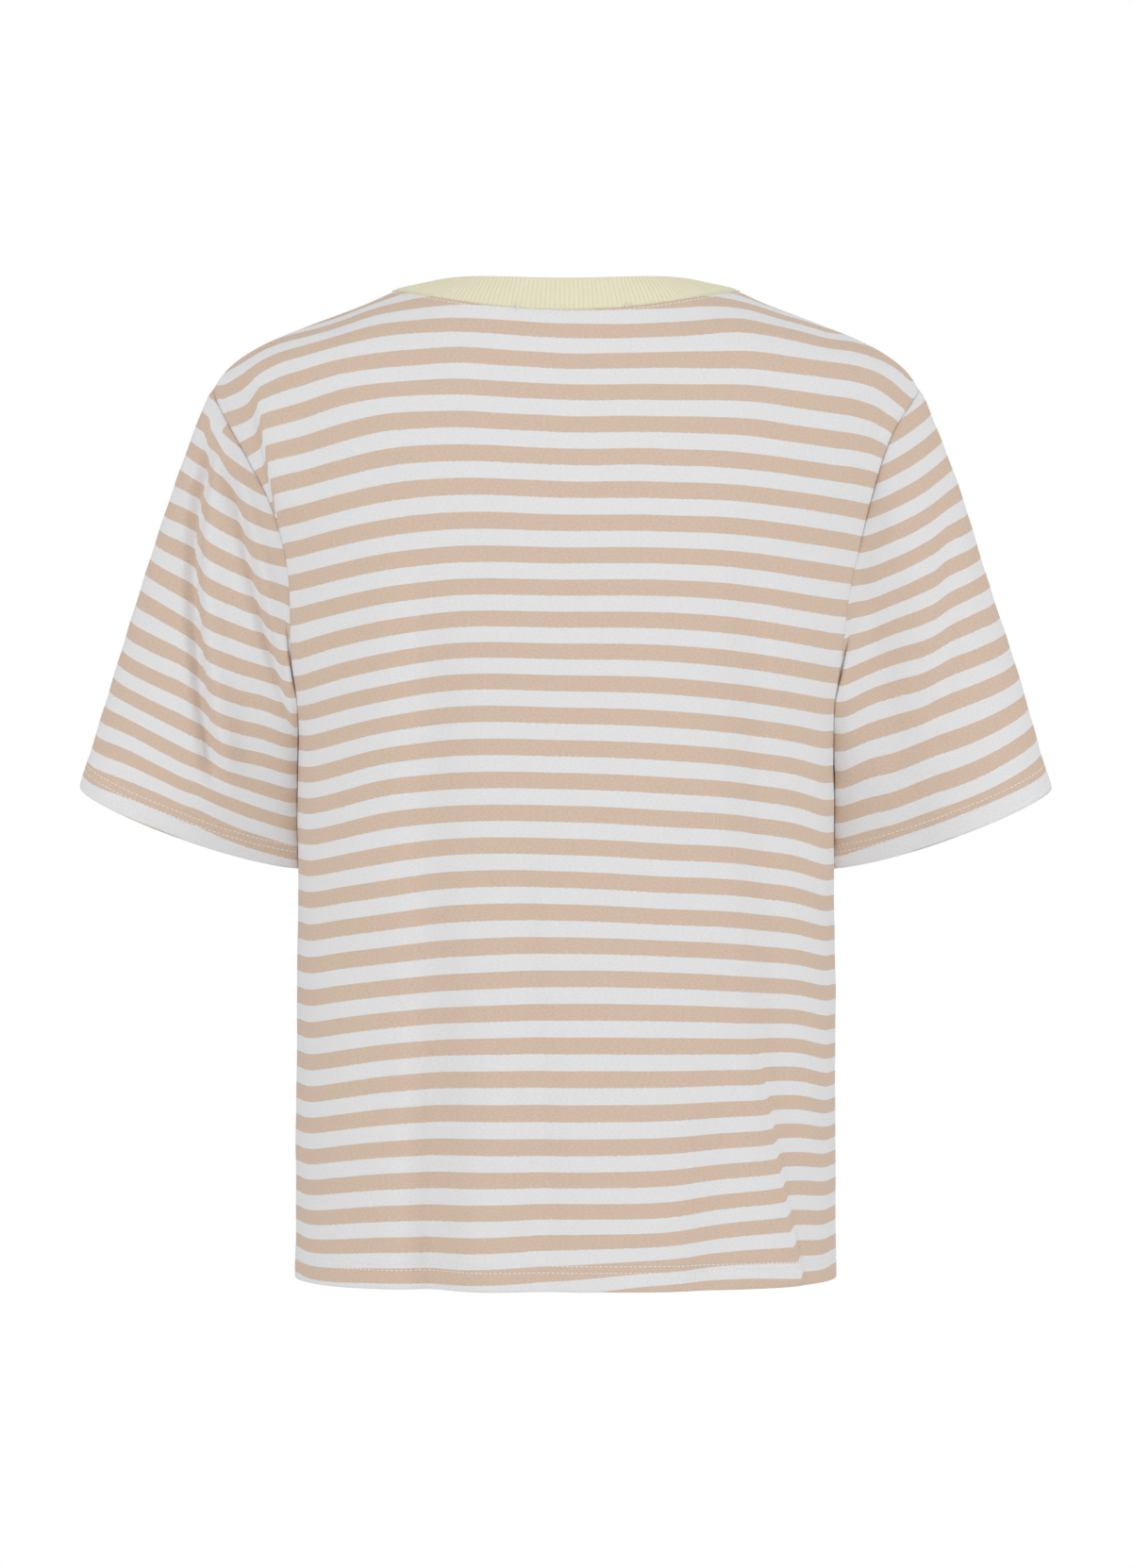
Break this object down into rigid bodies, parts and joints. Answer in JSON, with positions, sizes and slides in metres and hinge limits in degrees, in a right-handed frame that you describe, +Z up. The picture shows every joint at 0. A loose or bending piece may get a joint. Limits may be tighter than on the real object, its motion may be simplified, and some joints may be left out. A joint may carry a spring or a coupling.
{
  "type": "t-shirt",
  "caption": "Boxy short-sleeved T-shirt of striped jersey with a ribbed crew neckband, hollow and filled out as it hangs when worn.",
  "frame": {"origin": "middle of the neck opening, in the plane of the side and shoulder seams, at the height of the shoulders' high points", "axes": "+Z up, +Y towards the wearer's front, so the back panel faces -Y, and +X towards the wearer's right"},
  "size_m": [0.6168, 0.2548, 0.6338],
  "materials": {
    "striped_jersey": "matt single jersey in beige and white stripes of 10 mm",
    "yellow_rib": "matt fine rib knit, pale yellow"
  },
  "bodies": {
    "root": {"back_panel": "striped_jersey", "front_panel": "striped_jersey", "left_sleeve": "striped_jersey", "right_sleeve": "striped_jersey", "neckband": "yellow_rib"}
  },
  "joints": []
}
